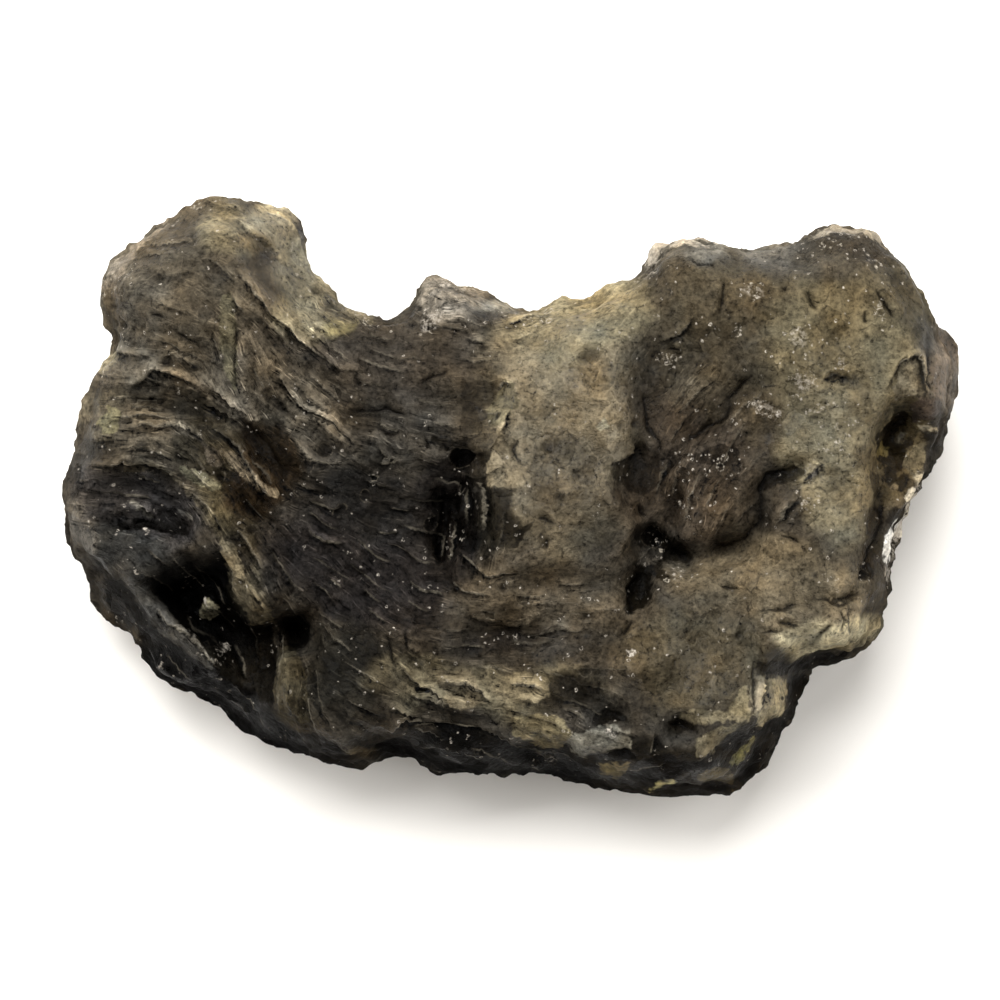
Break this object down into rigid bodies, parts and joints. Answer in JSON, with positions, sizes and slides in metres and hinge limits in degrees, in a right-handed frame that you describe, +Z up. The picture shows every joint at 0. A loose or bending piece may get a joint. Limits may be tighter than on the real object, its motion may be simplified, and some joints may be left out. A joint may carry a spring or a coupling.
{
  "type": "raw moldavite",
  "caption": "Flat lump of natural green-brown tektite glass with a bay in its far side, flow ridges, scarps, pits and dark etched hollows.",
  "frame": {"origin": "under the middle of the stone's box, on the surface that it rests on", "axes": "+X along the longest side, +Y towards the side with the bay, +Z up out of the sculpted face"},
  "size_m": [0.036, 0.0242, 0.0092],
  "materials": {
    "moldavite_glass": "naturally etched glass, satin with glossy pits, smoky brown with olive windows"
  },
  "bodies": {
    "root": {"moldavite": "moldavite_glass"}
  },
  "joints": []
}
